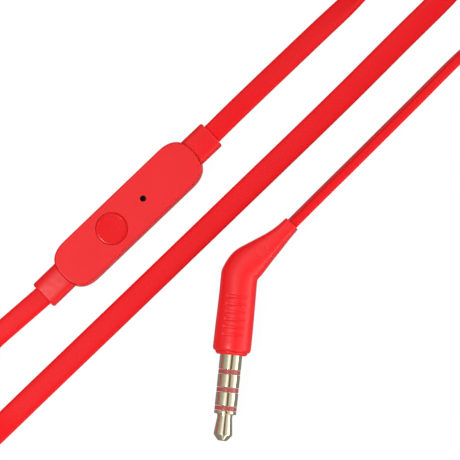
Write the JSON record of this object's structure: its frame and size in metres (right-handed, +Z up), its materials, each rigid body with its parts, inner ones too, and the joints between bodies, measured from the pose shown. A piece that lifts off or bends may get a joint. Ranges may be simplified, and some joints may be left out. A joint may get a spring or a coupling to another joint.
{
  "type": "wired earphones",
  "caption": "In-ear wired earphones with a flat cable, an angled audio plug, a Y splitter and an in-line remote with a button and microphone.",
  "frame": {"origin": "centre of the remote's flat back face, on the surface that the set lies on", "axes": "+Z up off the surface, +X and +Y along it; the remote and the shown cables run at about 44 degrees from +X"},
  "size_m": [0.1509, 0.1163, 0.0117],
  "materials": {
    "red_plastic": "fine-grained satin",
    "red_button": "satin",
    "red_overmould": "satin soft plastic",
    "insulator_plastic": "slightly translucent",
    "plated_contact": "polished pale gold plating",
    "cable_jacket": "satin flexible jacket",
    "tie_strap": "woven strap",
    "circuit_board": "solder mask",
    "bright_steel": "bright",
    "black_plastic": "moulded",
    "black_rubber": "soft",
    "back_cap": "satin",
    "silicone": "soft silicone",
    "diaphragm_film": "thin film"
  },
  "bodies": {
    "earphones": {"left_back_cap": "back_cap", "left_cable": "cable_jacket", "left_cable_ring": "cable_jacket", "left_cable_tail": "cable_jacket", "left_cable_tie": "tie_strap", "left_driver_frame": "black_plastic", "left_driver_magnet": "bright_steel", "left_driver_top_plate": "bright_steel", "left_driver_yoke": "bright_steel", "left_front_housing": "red_plastic", "left_nozzle_mesh": "bright_steel", "left_rear_housing": "red_plastic", "left_strain_relief": "red_overmould", "main_cable": "cable_jacket", "main_cable_ring": "cable_jacket", "main_cable_tail": "cable_jacket", "main_cable_tie": "tie_strap", "plug_housing": "red_overmould", "plug_inner_mould": "red_overmould", "plug_insulator_1": "insulator_plastic", "plug_insulator_2": "insulator_plastic", "plug_insulator_3": "insulator_plastic", "plug_ring_1": "plated_contact", "plug_ring_2": "plated_contact", "plug_sleeve": "plated_contact", "plug_tip": "plated_contact", "remote_back_shell": "red_plastic", "remote_capacitor": "bright_steel", "remote_chip": "black_plastic", "remote_circuit_board": "circuit_board", "remote_collar_lower": "red_plastic", "remote_collar_upper": "red_plastic", "remote_front_cover": "red_plastic", "remote_mic_gasket": "black_rubber", "remote_microphone": "bright_steel", "remote_switch_body": "bright_steel", "right_back_cap": "back_cap", "right_cable_lower": "cable_jacket", "right_cable_upper": "cable_jacket", "right_driver_frame": "black_plastic", "right_driver_magnet": "bright_steel", "right_driver_top_plate": "bright_steel", "right_driver_yoke": "bright_steel", "right_front_housing": "red_plastic", "right_nozzle_mesh": "bright_steel", "right_rear_housing": "red_plastic", "right_strain_relief": "red_overmould", "splitter_back_shell": "red_plastic", "splitter_crimp": "black_plastic", "splitter_front_shell": "red_plastic"},
    "remote_button": {"remote_button": "red_button"},
    "switch_plunger": {"remote_switch_plunger": "black_plastic"},
    "right_ear_tip": {"right_ear_tip": "silicone"},
    "left_ear_tip": {"left_ear_tip": "silicone"},
    "right_diaphragm": {"right_driver_diaphragm": "diaphragm_film"},
    "left_diaphragm": {"left_driver_diaphragm": "diaphragm_film"}
  },
  "joints": [
    {"name": "button_press", "type": "slide", "parent": "earphones", "child": "remote_button", "axis": [0, 0, -1], "range_m": [0, 0.00025], "stiffness_N_per_m": 6000},
    {"name": "switch_press", "type": "slide", "parent": "earphones", "child": "switch_plunger", "axis": [0, 0, -1], "range_m": [0, 0.00025]},
    {"name": "right_ear_tip_pull", "type": "slide", "parent": "earphones", "child": "right_ear_tip", "axis": [-0.2588, 0.9659, 0], "range_m": [0, 0.006]},
    {"name": "left_ear_tip_pull", "type": "slide", "parent": "earphones", "child": "left_ear_tip", "axis": [-1, 0, 0], "range_m": [0, 0.004]},
    {"name": "right_diaphragm_stroke", "type": "slide", "parent": "earphones", "child": "right_diaphragm", "axis": [-0.2588, 0.9659, 0], "range_m": [-0.00015, 0.00015], "stiffness_N_per_m": 1000},
    {"name": "left_diaphragm_stroke", "type": "slide", "parent": "earphones", "child": "left_diaphragm", "axis": [-1, 0, 0], "range_m": [-0.00015, 0.00015], "stiffness_N_per_m": 1000}
  ],
  "couplings": [
    {"joint": "switch_press", "follows": "button_press", "ratio": 1}
  ]
}
